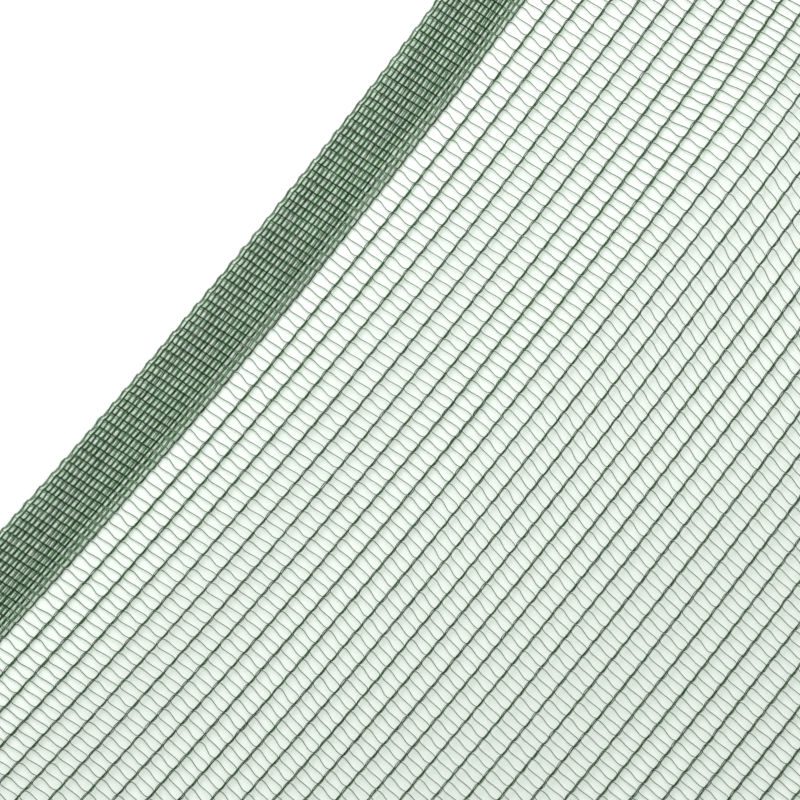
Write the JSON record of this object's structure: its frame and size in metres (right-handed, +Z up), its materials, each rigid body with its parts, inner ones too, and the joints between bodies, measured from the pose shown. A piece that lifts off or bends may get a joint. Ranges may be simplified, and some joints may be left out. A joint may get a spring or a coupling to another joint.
{
  "type": "hail net",
  "caption": "Cut length of knitted green hail net with a dense selvedge band along one side, laid flat with a low fold.",
  "frame": {"origin": "on the surface that the cloth lies on, under the middle of its bounding box", "axes": "+Y along the chain-stitch lines, +X from the selvedge across to the cut side, +Z up out of the surface"},
  "size_m": [0.2452, 0.3522, 0.003],
  "materials": {
    "net_filament": "satin"
  },
  "bodies": {
    "root": {"hail_net": "net_filament"}
  },
  "joints": []
}
